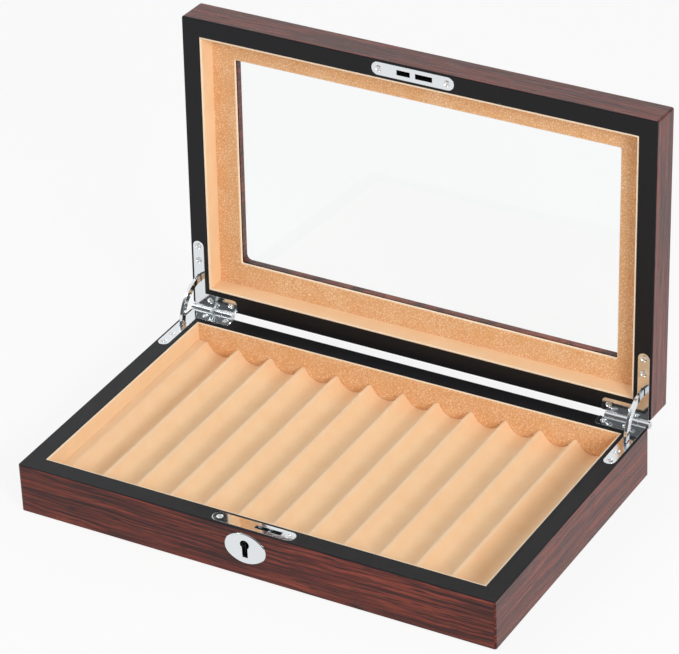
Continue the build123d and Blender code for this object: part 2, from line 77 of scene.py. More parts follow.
# -------- sizes and choices
@dataclass(frozen=True)
class ChestSizes:
    """Sizes in millimetres that the looks share with the CAD source."""

    width: float = 335.0
    depth: float = 208.6
    base_height: float = 35.0
    lid_height: float = 23.4
    rim_gap: float = 0.3
    wall: float = 12.3
    floor_top: float = 4.0
    lining: float = 1.6
    lining_drop: float = 0.2
    tray_gap: float = 0.2
    top_panel: float = 8.0
    board: float = 2.0
    window_margin: float = 30.0
    board_lap: float = 0.6
    axis_y: float = 107.1
    open_angle: float = 92.5

    @property
    def half_inside(self) -> tuple[float, float]:
        """Half the width and half the depth between the inner faces of the walls."""
        return self.width / 2 - self.wall, self.depth / 2 - self.wall

    @property
    def lid_rim(self) -> float:
        """Height of the closed lid's rim."""
        return self.base_height + self.rim_gap

    @property
    def board_face(self) -> float:
        """Height of the window board's face that looks down into the closed chest."""
        return self.lid_rim + self.lid_height - self.top_panel - self.board


SIZES = ChestSizes()


class Side(Enum):
    """A wall of the chest, with its outward direction in plan."""

    FRONT = (0, -1)
    BACK = (0, 1)
    LEFT = (-1, 0)
    RIGHT = (1, 0)


class Shell(Enum):
    """The part of the chest that a piece is in, named as its body."""

    BASE = "base"
    LID = "lid"


class Nap(Enum):
    """How the suede is finished."""

    BRUSHED = "brushed"
    GRAINED = "grained"


# -------- colour and nodes
def linear(hex_colour: str) -> Colour:
    """Turn an sRGB hex colour into the linear colour that a shader takes.

    Args:
        hex_colour: Six hex digits after a hash sign.

    Returns:
        Linear red, green and blue with an alpha of one.
    """
    channels = [int(hex_colour[i : i + 2], 16) / 255 for i in (1, 3, 5)]
    lit = [c / 12.92 if c <= 0.04045 else ((c + 0.055) / 1.055) ** 2.4 for c in channels]
    return (lit[0], lit[1], lit[2], 1.0)


def add_node(
    tree: Any, kind: str, inputs: dict[Any, Any] | None = None, give: Any = 0, **settings: Any
) -> Any:
    """Add a node with its settings, its values and its links.

    Args:
        tree: Node tree that gets the node.
        kind: Name of the node's type, after "ShaderNode".
        inputs: Input name or number to a value, or to a socket that is linked to it.
        give: Name or number of the output to give, or None for the whole node.
        settings: Attributes of the node.

    Returns:
        The output socket, or the node.
    """
    node = tree.nodes.new("ShaderNode" + kind)
    for name, value in settings.items():
        setattr(node, name, value)
    for key, value in (inputs or {}).items():
        if isinstance(value, bpy.types.NodeSocket):
            tree.links.new(value, node.inputs[key])
        else:
            node.inputs[key].default_value = value
    return node if give is None else node.outputs[give]


def per_metre(size: float) -> float:
    """Give the scale of a pattern whose grains are a size in millimetres."""
    return 1 / (size * MM)


def new_material(name: str) -> tuple[Any, Any]:
    """Make an empty material.

    Args:
        name: Name of the finish.

    Returns:
        The material and its node tree.
    """
    material = bpy.data.materials.new(name)
    material.use_nodes = True
    tree = material.node_tree
    tree.nodes.clear()
    return material, tree


def closed_coordinates(tree: Any, shell: Shell) -> Any:
    """Give Object coordinates, turned back to the closed chest on a piece of the lid.

    The lid's coordinates are turned about the hinge axis by the opening angle, so a point's
    place is R p + (a - R a), with a on the axis and R the turn.

    Args:
        tree: Node tree that gets the nodes.
        shell: Part of the chest that the material is for.

    Returns:
        Socket with the coordinates in metres.
    """
    place = add_node(tree, "TexCoord", give="Object")
    if shell is Shell.BASE:
        return place
    turn = math.radians(SIZES.open_angle)
    anchor = Vector((0, SIZES.axis_y * MM, SIZES.base_height * MM))
    shift = anchor - Matrix.Rotation(turn, 3, "X") @ anchor
    mapping = {"Vector": place, "Location": shift, "Rotation": (turn, 0, 0)}
    return add_node(tree, "Mapping", mapping, give="Vector")


# -------- finishes
@dataclass(frozen=True)
class VeneeredWood:
    """Stained oak veneer under satin lacquer, with the rims sprayed matt black.

    The veneer shows wavy dark growth lines about 2 mm apart along each side, in slow light
    and dark bands, and short fine pores. It looks paler where it is seen at a low angle, which
    the sheen gives. The black covers the rim, its rounded edge and the faces inside. Lengths
    are in millimetres, and the sizes of a grain run along, across and through the sheet.
    """

    shell: Shell
    light: str = "#843b2b"
    middle: str = "#5d241c"
    dark: str = "#2d100f"
    black: str = "#17181b"
    glare: str = "#fff0ee"
    skin: float = 1.1
    black_edge: float = 0.6
    bends: tuple[tuple[tuple[float, float, float], float], ...] = (
        ((71.43, 33.33, 25.0), 3.5),
        ((22.22, 9.091, 25.0), 1.1),
    )
    growth: tuple[float, float, float] = (71.43, 1.786, 25.0)
    bands: tuple[float, float, float] = (111.1, 7.692, 25.0)
    pores: tuple[float, float, float] = (15.38, 0.8, 16.67)
    line_levels: tuple[float, float, float] = (0.36, 0.5, 0.64)
    band_tones: tuple[float, float] = (0.6, 1.36)
    pore_levels: tuple[float, float] = (0.56, 0.68)
    pore_depth: float = 0.12
    swell: float = 11.11
    satin: tuple[float, float] = (0.36, 0.5)

    def make(self) -> Any:
        """Build the material and return it."""
        material, tree = new_material(f"oak_veneer_satin_{self.shell.value}")
        place = closed_coordinates(tree, self.shell)
        axes = add_node(tree, "SeparateXYZ", {0: place}, give=None).outputs
        side = self.beyond(tree, axes["X"], SIZES.width / 2 - self.skin)
        front = self.beyond(tree, axes["Y"], SIZES.depth / 2 - self.skin)
        colour, pores = self.grain(tree, self.lay_sheet(tree, axes, side, front))
        swell = {"Vector": place, "Scale": per_metre(self.swell), "Detail": 3.0}
        lacquer = add_node(tree, "TexNoise", swell)
        span = {0: lacquer, 3: self.satin[0], 4: self.satin[1]}
        gloss = add_node(tree, "MapRange", span)
        peel = {"Height": lacquer, "Strength": 0.05, "Distance": 0.4 * MM}
        orange_peel = add_node(tree, "Bump", peel)
        dents = {"Height": pores, "Strength": 0.5, "Distance": self.pore_depth * MM}
        dents["Normal"] = orange_peel
        veneer = {
            "Base Color": colour,
            "Roughness": gloss,
            "Normal": add_node(tree, "Bump", dents),
            "IOR": 1.5,
            "Specular IOR Level": 0.2,
            "Sheen Weight": 0.85,
            "Sheen Roughness": 0.35,
            "Sheen Tint": linear(self.glare),
        }
        paint = {
            "Base Color": linear(self.black),
            "Roughness": gloss,
            "Normal": orange_peel,
            "IOR": 1.5,
            "Specular IOR Level": 0.22,
        }
        shaders = [add_node(tree, "BsdfPrincipled", coat) for coat in (paint, veneer)]
        both = {0: self.outside(tree, axes, side, front), 1: shaders[0], 2: shaders[1]}
        add_node(tree, "OutputMaterial", {0: add_node(tree, "MixShader", both)}, give=None)
        return material

    @staticmethod
    def beyond(tree: Any, axis: Any, limit: float) -> Any:
        """Give one where a coordinate's size is over the limit in millimetres, else zero."""
        size = add_node(tree, "Math", {0: axis}, operation="ABSOLUTE")
        soft = 0.1
        edge = {0: size, 1: (limit - soft) * MM, 2: (limit + soft) * MM}
        return add_node(tree, "MapRange", edge)

    @staticmethod
    def lay_sheet(tree: Any, axes: Any, side: Any, front: Any) -> list[Any]:
        """Choose the axes that run along, across and through the sheet of veneer on each face.

        Args:
            tree: Node tree that gets the nodes.
            axes: Coordinates of the closed chest.
            side: Mask of the two short outer faces.
            front: Mask of the two long outer faces.

        Returns:
            Sockets with the coordinates along, across and through the sheet.
        """
        sheet = []
        for on_top, on_long, on_short in (("X", "X", "Y"), ("Y", "Z", "Z"), ("Z", "Y", "X")):
            way = add_node(tree, "Mix", {0: front, 2: axes[on_top], 3: axes[on_long]})
            sheet.append(add_node(tree, "Mix", {0: side, 2: way, 3: axes[on_short]}))
        return sheet

    def outside(self, tree: Any, axes: Any, side: Any, front: Any) -> Any:
        """Give one on the veneered outer skin and zero on the black rim and inside.

        Args:
            tree: Node tree that gets the nodes.
            axes: Coordinates of the closed chest.
            side: Mask of the two short outer faces.
            front: Mask of the two long outer faces.

        Returns:
            Socket with the mask.
        """
        skin = add_node(tree, "Math", {0: side, 1: front}, operation="MAXIMUM")
        soft, top_soft = 0.12, 0.05
        if self.shell is Shell.BASE:
            edge = SIZES.base_height - self.black_edge
            limits = {0: axes["Z"], 1: edge * MM, 2: (edge + soft) * MM, 3: 1.0, 4: 0.0}
        else:
            edge = SIZES.lid_rim + self.black_edge
            limits = {0: axes["Z"], 1: (edge - soft) * MM, 2: edge * MM}
            top = SIZES.lid_rim + SIZES.lid_height - SIZES.top_panel
            panel = {0: axes["Z"], 1: (top - top_soft) * MM, 2: (top + top_soft) * MM}
            above = add_node(tree, "MapRange", panel)
            skin = add_node(tree, "Math", {0: skin, 1: above}, operation="MAXIMUM")
        veneered = add_node(tree, "MapRange", limits)
        return add_node(tree, "Math", {0: skin, 1: veneered}, operation="MULTIPLY")

    def grain(self, tree: Any, sheet: list[Any]) -> tuple[Any, Any]:
        """Lay the growth lines, bands and pores on a sheet of veneer.

        The across coordinate is bent by two noises, 70 mm and 22 mm long, and the lines are a
        noise that is stretched along the sheet, so they run wavy and never cross. The through
        coordinate picks another cut on each side.

        Args:
            tree: Node tree that gets the nodes.
            sheet: Coordinates along, across and through the sheet.

        Returns:
            Sockets with the colour and with the height of the pores.
        """
        along, across, through = sheet
        flat = add_node(tree, "CombineXYZ", dict(enumerate(sheet)))
        bent = across
        for sizes, reach in self.bends:
            swing = {0: self.noise(tree, flat, sizes, 2.0, 0.5), 3: -reach * MM, 4: reach * MM}
            shift = add_node(tree, "MapRange", swing)
            bent = add_node(tree, "Math", {0: bent, 1: shift}, operation="ADD")
        wavy = add_node(tree, "CombineXYZ", {0: along, 1: bent, 2: through})
        growth = self.noise(tree, wavy, self.growth, 3.0, 0.6)
        bands = self.noise(tree, wavy, self.bands, 2.0, 0.5)
        pores = self.noise(tree, wavy, self.pores, 1.0, 0.5)
        low, half, high = self.line_levels
        colour = linear(self.dark)
        for start, end, tint in ((low, half, self.middle), (half, high, self.light)):
            share = add_node(tree, "MapRange", {0: growth, 1: start, 2: end})
            step = {0: share, 6: colour, 7: linear(tint)}
            colour = add_node(tree, "Mix", step, data_type="RGBA", give=2)
        tone = {0: bands, 1: 0.3, 2: 0.7, 3: self.band_tones[0], 4: self.band_tones[1]}
        level = add_node(tree, "MapRange", tone)
        toned = add_node(tree, "VectorMath", {0: colour, "Scale": level}, operation="SCALE")
        start, end = self.pore_levels
        closed = add_node(tree, "MapRange", {0: pores, 1: start, 2: end, 3: 1.0, 4: 0.0})
        shade = {0: closed, 6: linear(self.dark), 7: toned}
        dressed = add_node(tree, "Mix", shade, data_type="RGBA", give=2)
        return dressed, closed

    @staticmethod
    def noise(
        tree: Any, place: Any, sizes: tuple[float, float, float], detail: float, rough: float
    ) -> Any:
        """Give a noise whose grains have their own size along each axis.

        Args:
            tree: Node tree that gets the nodes.
            place: Coordinates in metres.
            sizes: Size of the grains along each axis in millimetres.
            detail: Octaves of finer noise.
            rough: Strength of each octave against the one before.

        Returns:
            Socket with the noise.
        """
        stretch = {0: place, 1: tuple(per_metre(size) for size in sizes)}
        scaled = add_node(tree, "VectorMath", stretch, operation="MULTIPLY")
        noise = {"Vector": scaled, "Scale": 1.0, "Detail": detail, "Roughness": rough}
        return add_node(tree, "TexNoise", noise)


@dataclass(frozen=True)
class Suede:
    """Peach microfibre suede glued round board, drawn paler where it folds: partly the nap
    stretched over the folds, partly a painted highlight.

    The brushed nap is smooth with faint clouds. The grained one has wrinkles under 2 mm apart,
    drawn a little coarser than life so that they show, with painted shade in their creases.
    Lengths are in millimetres.
    """

    nap: Nap
    light: str = "#fbd9b0"
    deep: str = "#f4c695"
    # painted shade laid into the wrinkles' creases
    crease_shade: str = "#dc9a60"
    # paler suede at rolled edges and crests: partly stretched nap, partly a painted highlight;
    # also the painted highlight on the tray's lit slopes
    fold: str = "#ffeacf"
    fuzz: str = "#ffe9d2"
    cloud_size: float = 14.286
    fluff_size: float = 0.6667
    fluff_depth: float = 0.3
    wrinkle_size: float = 1.786
    bend_size: float = 2.381
    bend_reach: float = 1.5
    crease_reach: float = 0.3
    crease_tone: tuple[float, float] = (0.25, 1.06)
    brushed_light: float = 0.6

    def make(self) -> Any:
        """Build the material and return it."""
        material, tree = new_material(f"microfibre_suede_{self.nap.value}")
        place = add_node(tree, "TexCoord", give="Object")
        clouds = {"Vector": place, "Scale": per_metre(self.cloud_size), "Detail": 4.0}
        span = {0: add_node(tree, "TexNoise", clouds), 1: 0.3, 2: 0.7}
        deep = linear(self.deep)
        if self.nap is Nap.BRUSHED:
            pair = zip(deep, linear(self.light))
            deep = tuple(a + self.brushed_light * (b - a) for a, b in pair)
        patch = add_node(tree, "MapRange", span)
        cloudy = {0: patch, 6: deep, 7: linear(self.light)}
        colour = add_node(tree, "Mix", cloudy, data_type="RGBA", give=2)
        fluff = {"Vector": place, "Scale": per_metre(self.fluff_size), "Detail": 2.0}
        height = add_node(tree, "TexNoise", fluff)
        if self.nap is Nap.GRAINED:
            colour, height = self.wrinkle(tree, place, colour, height)
        # paler where the mesh marks it: stretched nap at rolled edges plus a painted highlight,
        # and a painted highlight on the tray's left-facing slopes
        fold_and_highlight_share = add_node(tree, "Attribute", attribute_name="fold", give="Fac")
        pale = {0: fold_and_highlight_share, 6: colour, 7: linear(self.fold)}
        relief = {"Height": height, "Strength": 0.35, "Distance": self.fluff_depth * MM}
        cloth = {
            "Base Color": add_node(tree, "Mix", pale, data_type="RGBA", give=2),
            "Roughness": 0.92,
            "IOR": 1.45,
            "Specular IOR Level": 0.15,
            "Sheen Weight": 0.25,
            "Sheen Roughness": 0.45,
            "Sheen Tint": linear(self.fuzz),
            "Normal": add_node(tree, "Bump", relief),
        }
        shader = add_node(tree, "BsdfPrincipled", cloth)
        add_node(tree, "OutputMaterial", {0: shader}, give=None)
        return material

    def wrinkle(self, tree: Any, place: Any, colour: Any, height: Any) -> tuple[Any, Any]:
        """Press wrinkles into the nap: the edges of cells whose places a noise has pushed, with
        painted shade laid into the creases.

        Args:
            tree: Node tree that gets the nodes.
            place: Coordinates of the piece.
            colour: Colour of the nap.
            height: Height of the nap.

        Returns:
            Sockets with the colour and the height of the wrinkled nap.
        """
        waves = {"Vector": place, "Scale": per_metre(self.bend_size), "Detail": 1.0}
        bend = add_node(tree, "TexNoise", waves, give="Color")
        pushed = {0: bend, 1: (self.bend_reach * MM,) * 3, 2: place}
        cells = add_node(tree, "VectorMath", pushed, operation="MULTIPLY_ADD")
        grid = {"Vector": cells, "Scale": per_metre(self.wrinkle_size), "Randomness": 1.0}
        edge = add_node(tree, "TexVoronoi", grid, feature="DISTANCE_TO_EDGE")
        pit = add_node(tree, "MapRange", {0: edge, 1: 0.0, 2: self.crease_reach})
        shown = {0: pit, 3: self.crease_tone[0], 4: self.crease_tone[1]}
        seen = add_node(tree, "MapRange", shown)
        # painted shade: the crease colour darkens the wrinkles' creases
        crease_shading = {0: seen, 6: linear(self.crease_shade), 7: colour}
        colour = add_node(tree, "Mix", crease_shading, data_type="RGBA", give=2)
        height = add_node(tree, "Math", {0: height, 1: pit}, operation="ADD")
        return colour, height


@dataclass(frozen=True)
class PlatedMetal:
    """Pressed or turned metal with a bright plating, faintly uneven from the press.

    Slow waves of a few millimetres bend the reflections, and wiping marks vary the gloss. The
    edge is the radius in millimetres at which corners catch the light, and the lean tips what
    a face mirrors, as a plate that isn't quite level does.
    """

    name: str
    colour: str
    roughness: float
    smear: float
    edge: float
    wave: float = 0.04
    lean: tuple[float, float] = (0.0, 0.0)
    wave_size: float = 8.333
    wave_depth: float = 0.6
    wipe_size: float = 1.667

    def make(self) -> Any:
        """Build the material and return it."""
        material, tree = new_material(self.name)
        place = add_node(tree, "TexCoord", give="Object")
        waves = {"Vector": place, "Scale": per_metre(self.wave_size), "Detail": 1.0}
        marks = {"Vector": place, "Scale": per_metre(self.wipe_size), "Detail": 3.0}
        span = {0: add_node(tree, "TexNoise", marks), 1: 0.35, 2: 0.7}
        span[3], span[4] = self.roughness, self.roughness + self.smear
        rounded = add_node(tree, "Bevel", {"Radius": self.edge * MM}, samples=6)
        tip = {0: rounded, 1: (*self.lean, 0.0)}
        leaning = add_node(tree, "VectorMath", tip, operation="ADD")
        relief = {
            "Height": add_node(tree, "TexNoise", waves),
            "Strength": self.wave,
            "Distance": self.wave_depth * MM,
            "Normal": leaning,
        }
        plating = {
            "Base Color": linear(self.colour),
            "Metallic": 1.0,
            "Roughness": add_node(tree, "MapRange", span),
            "Normal": add_node(tree, "Bump", relief),
        }
        shader = add_node(tree, "BsdfPrincipled", plating)
        add_node(tree, "OutputMaterial", {0: shader}, give=None)
        return material


@dataclass(frozen=True)
class ClearGlass:
    """Clear float glass, 2.5 mm thick, cut and seamed, with a weak mirror image.

    A faint haze 40 mm wide marks where it was wiped. Lamps shine through it.
    """

    tint: str = "#fdfefe"
    shade: str = "#eef6f3"
    mirror: str = "#666666"
    haze_size: float = 40.0
    haze: float = 0.02

    def make(self) -> Any:
        """Build the material and return it."""
        material, tree = new_material("float_glass_clear")
        place = add_node(tree, "TexCoord", give="Object")
        smears = {"Vector": place, "Scale": per_metre(self.haze_size), "Detail": 3.0}
        wiped = add_node(tree, "TexNoise", smears)
        span = {0: wiped, 1: 0.55, 2: 0.8, 3: 0.0, 4: self.haze}
        pane = {
            "Base Color": linear(self.tint),
            "Transmission Weight": 1.0,
            "Roughness": add_node(tree, "MapRange", span),
            "IOR": 1.52,
            "Specular Tint": linear(self.mirror),
        }
        glass = add_node(tree, "BsdfPrincipled", pane)
        open_way = add_node(tree, "BsdfTransparent", {0: linear(self.shade)})
        shadow = add_node(tree, "LightPath", give="Is Shadow Ray")
        both = {0: shadow, 1: glass, 2: open_way}
        add_node(tree, "OutputMaterial", {0: add_node(tree, "MixShader", both)}, give=None)
        return material


@dataclass(frozen=True)
class PressedFibre:
    """Matted wool felt or pressed fibreboard, whose short crossed fibres mottle it.

    The fibre is their size and the depth their relief, both in millimetres.
    """

    name: str
    pale: str
    dark: str
    fibre: float
    depth: float

    def make(self) -> Any:
        """Build the material and return it."""
        material, tree = new_material(self.name)
        place = add_node(tree, "TexCoord", give="Object")
        strands = []
        for stretch in ((1, 4, 1), (4, 1, 1)):
            scaled = add_node(tree, "VectorMath", {0: place, 1: stretch}, operation="MULTIPLY")
            noise = {"Vector": scaled, "Scale": per_metre(self.fibre), "Detail": 2.0}
            strands.append(add_node(tree, "TexNoise", noise))
        mat = add_node(tree, "Math", dict(enumerate(strands)), operation="MAXIMUM")
        share = add_node(tree, "MapRange", {0: mat, 1: 0.45, 2: 0.7})
        mottle = {0: share, 6: linear(self.dark), 7: linear(self.pale)}
        relief = {"Height": mat, "Strength": 0.6, "Distance": self.depth * MM}
        matted = {
            "Base Color": add_node(tree, "Mix", mottle, data_type="RGBA", give=2),
            "Roughness": 0.95,
            "Specular IOR Level": 0.1,
            "Normal": add_node(tree, "Bump", relief),
        }
        shader = add_node(tree, "BsdfPrincipled", matted)
        add_node(tree, "OutputMaterial", {0: shader}, give=None)
        return material


@dataclass
class Finishes:
    """Every finish of the chest. Each field's settings give way to the material they make."""

    base_wood: Any = VeneeredWood(Shell.BASE)
    lid_wood: Any = VeneeredWood(Shell.LID)
    brushed: Any = Suede(Nap.BRUSHED)
    grained: Any = Suede(Nap.GRAINED)
    glass: Any = ClearGlass()
    felt: Any = PressedFibre("wool_felt_black", "#2b2b2d", "#101011", 0.5, 0.3)
    fibreboard: Any = PressedFibre("fibreboard_pressed", "#a98a63", "#7d6142", 0.9, 0.05)
    chrome: Any = PlatedMetal("steel_chrome_plated", "#e2e6e9", 0.07, 0.08, 0.25)
    face_plate: Any = PlatedMetal(
        "steel_chrome_face_plate", "#e6eaed", 0.03, 0.04, 0.25, 0.008, (-0.004, 0.013)
    )
    screw: Any = PlatedMetal("steel_screw_bright", "#dfe2e3", 0.09, 0.06, 0.08)
    works: Any = PlatedMetal("steel_zinc_plated", "#b9bcbe", 0.24, 0.14, 0.1)

    def __post_init__(self) -> None:
        """Make each material."""
        for name, finish in list(vars(self).items()):
            setattr(self, name, finish.make())


# -------- meshes
def add_object(name: str, data: Any) -> Any:
    """Put a new object in the scene.

    Args:
        name: Name of the object.
        data: Its mesh, lamp or camera.

    Returns:
        The object.
    """
    thing = bpy.data.objects.new(name, data)
    bpy.context.scene.collection.objects.link(thing)
    return thing


def swing_open(points: np.ndarray) -> np.ndarray:
    """Turn points of the closed lid about the hinge axis, back to the open stop.

    Args:
        points: Array whose last axis is x, y and z in millimetres.

    Returns:
        The turned points: y' = y cos a - z sin a and z' = y sin a + z cos a about the axis.
    """
    angle = -math.radians(SIZES.open_angle)
    y = points[..., 1] - SIZES.axis_y
    z = points[..., 2] - SIZES.base_height
    turned = points.copy()
    turned[..., 1] = SIZES.axis_y + y * math.cos(angle) - z * math.sin(angle)
    turned[..., 2] = SIZES.base_height + y * math.sin(angle) + z * math.cos(angle)
    return turned


def grid_faces(rows: int, columns: int, closed_rows: bool, start: int = 0) -> np.ndarray:
    """Number the quads of a grid whose columns close on themselves.

    Args:
        rows: Points along the first direction.
        columns: Points round the second direction.
        closed_rows: True if the last row joins the first.
        start: Number of the grid's first point.

    Returns:
        Array of quads, one row of four point numbers each.
    """
    row = np.arange(rows if closed_rows else rows - 1)[:, None]
    here, ahead = row * columns, (row + 1) % rows * columns
    j = np.arange(columns)[None, :]
    after = (j + 1) % columns
    corners = np.stack([here + j, here + after, ahead + after, ahead + j], axis=-1)
    return corners.reshape(-1, 4) + start


def cap_faces(columns: int, first_point: int) -> np.ndarray:
    """Close the end of a tube with a strip of quads from each point to the one facing it.

    Args:
        columns: Points round the end, an even number.
        first_point: Number of the end's first point.

    Returns:
        Array of quads that join point j to point n - 1 - j.
    """
    j = np.arange(columns // 2 - 1)
    strip = [j, j + 1, columns - 2 - j, columns - 1 - j]
    return np.stack(strip, axis=-1) + first_point


def make_piece(
    name: str,
    grids: list[np.ndarray],
    closed_rows: bool,
    finish: Any,
    fold: np.ndarray | None = None,
    crease_angle: float = 35.0,
) -> Any:
    """Make an object from tubes of points and give it its finish.

    Args:
        name: Name of the piece.
        grids: Arrays of rows x columns x 3 in millimetres. The columns go round each tube.
        closed_rows: True if each tube's last row joins its first, else its ends are capped.
        finish: Material of the piece.
        fold: Paleness of the suede at each point, from 0 to 1: the nap stretched at folds, with
            a painted highlight.
        crease_angle: Degrees between faces past which an edge stays sharp.

    Returns:
        The new object, at the origin.
    """
    faces = []
    start = 0
    for grid in grids:
        rows, columns = grid.shape[:2]
        faces.append(grid_faces(rows, columns, closed_rows, start))
        if not closed_rows:
            faces.append(cap_faces(columns, start))
            faces.append(cap_faces(columns, start + (rows - 1) * columns))
        start += rows * columns
    points = np.concatenate([grid.reshape(-1, 3) for grid in grids]) * MM
    mesh = bpy.data.meshes.new(name)
    mesh.from_pydata(points, [], np.concatenate(faces))
    if fold is not None:
        # paleness per point: stretched nap plus painted highlight
        paleness = mesh.attributes.new("fold", "FLOAT", "POINT")
        paleness.data.foreach_set("value", fold.reshape(-1).astype(np.float32))
    shell = bmesh.new()
    shell.from_mesh(mesh)
    bmesh.ops.recalc_face_normals(shell, faces=shell.faces)
    shell.to_mesh(mesh)
    shell.free()
    mesh.shade_smooth()
    mesh.set_sharp_from_angle(angle=math.radians(crease_angle))
    mesh.materials.append(finish)
    return add_object(name, mesh)


def ripple(u: np.ndarray, v: np.ndarray, seed: int, size: float) -> np.ndarray:
    """Give the faint unevenness of glued cloth.

    It is the sum of seven sines whose waves are 9 to 50 mm long and run in random
    directions, scaled to the size.

    Args:
        u: First coordinate of the points in millimetres.
        v: Second coordinate in millimetres.
        seed: Seed of the waves.
        size: Largest height in millimetres.

    Returns:
        Heights in millimetres.
    """
    random = np.random.default_rng(seed)
    total = np.zeros(np.broadcast(u, v).shape)
    for _ in range(7):
        angle, phase = random.uniform(0, 2 * math.pi, 2)
        wave = 2 * math.pi / random.uniform(9, 50)
        total += np.sin(wave * (u * math.cos(angle) + v * math.sin(angle)) + phase)
    return total * size / 7


# -------- suede-covered pieces
@dataclass
class SuedeLinings:
    """Strips of board wrapped in suede that line the walls of one shell."""

    shell: Shell
    roll: float = 0.78
    slack: float = 0.02
    glued: float = 0.1
    # the rolled rim is drawn paler, partly stretched nap and partly a painted highlight; the
    # half towards the wall is dimmed, a painted shade
    paleness: float = 1.25
    shaded_from: float = 0.55
    shade: float = 0.8
    unevenness: float = 0.07
    rim_points: int = 13
    side_points: int = 9
    spacing: float = 2.5

    def heights(self) -> tuple[float, float]:
        """Give the heights of a strip's hidden edge and of its rim with the lid closed."""
        if self.shell is Shell.BASE:
            return SIZES.floor_top, SIZES.base_height - SIZES.lining_drop
        return SIZES.board_face, SIZES.lid_rim + SIZES.lining_drop

    def section(self) -> tuple[np.ndarray, np.ndarray, np.ndarray]:
        """Draw a strip's section: flat sides joined by a half round at the rim.

        Returns:
            Distance from the wall, height and paleness of each point, in a closed loop.
        """
        foot, rim = self.heights()
        up = math.copysign(1.0, rim - foot)
        thick = SIZES.lining
        turn = np.linspace(math.pi, 0, self.rim_points)
        round_x = thick / 2 + (thick / 2 - self.slack) * np.cos(turn)
        round_z = rim - up * self.roll + up * self.roll * np.sin(turn)
        side = np.linspace(0, 1, self.side_points)[:-1]
        rise = foot + (rim - up * self.roll - foot) * side
        back, face = np.full_like(side, self.slack), np.full_like(side, thick)
        x = np.concatenate([back, round_x, face])
        z = np.concatenate([rise, round_z, rise[::-1]])
        flat = np.zeros_like(side)
        # painted highlight on the rolled rim, with painted shade on its half towards the wall
        pale = np.clip(np.sin(turn) * self.paleness, 0, 1)
        pale[turn > math.pi * self.shaded_from] *= self.shade
        return x, z, np.concatenate([flat, pale, flat])

    def build(self, side: Side, finish: Any) -> Any:
        """Carry the section along a wall, with its ends cut at 45 degrees.

        A point at a distance d from the wall runs from -(h - d) to h - d along it, where h
        is half the length between the walls.

        Args:
            side: Wall that the strip lies on.
            finish: Suede that covers it.

        Returns:
            The strip.
        """
        across, height, pale = self.section()
        half_x, half_y = SIZES.half_inside
        out_x, out_y = side.value
        half_long, half_out = (half_y, half_x) if out_x else (half_x, half_y)
        rows = int(2 * half_long / self.spacing)
        station = np.linspace(-1, 1, rows)[:, None]
        seed = sum(map(ord, self.shell.value + side.name))
        run = station * (half_long - across[None, :])
        lift = ripple(run, height[None, :], seed, self.unevenness)
        covered = across[None, :] > self.glued
        out = half_out - (across[None, :] + np.minimum(lift, 0.0) * covered)
        level = np.broadcast_to(height[None, :], run.shape)
        x = out * out_x + run * abs(out_y)
        y = out * out_y + run * abs(out_x)
        grid = np.stack([x, y, level], axis=-1)
        if self.shell is Shell.LID:
            grid = swing_open(grid)
        fold = np.broadcast_to(pale[None, :], run.shape)
        name = f"{self.shell.value}_lining_{side.name.lower()}"
        piece = make_piece(f"suede_{name}", [grid], False, finish, fold)
        return dress(piece, self.shell.value, "suede", name)


